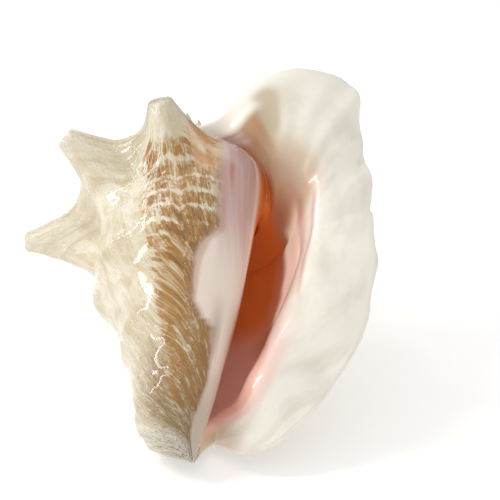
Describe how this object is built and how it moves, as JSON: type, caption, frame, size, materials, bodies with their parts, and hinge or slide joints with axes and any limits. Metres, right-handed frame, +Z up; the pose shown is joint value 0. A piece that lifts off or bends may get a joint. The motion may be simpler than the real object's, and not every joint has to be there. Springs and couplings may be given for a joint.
{
  "type": "queen conch shell",
  "caption": "Large dextral sea shell lying on its back: low spire with spines, cream and brown body whorl and a wide flared lip beside a long glossy pink aperture.",
  "frame": {"origin": "middle of the bounding box, on the surface that the shell rests on", "axes": "+Z up, the apex towards +Y, the siphonal end towards -Y, the flared lip towards +X"},
  "size_m": [0.18, 0.2094, 0.1384],
  "materials": {
    "shell": "glossy, like glazed porcelain: cream and tan outside, pink and orange glaze inside"
  },
  "bodies": {
    "root": {"shell": "shell"}
  },
  "joints": []
}
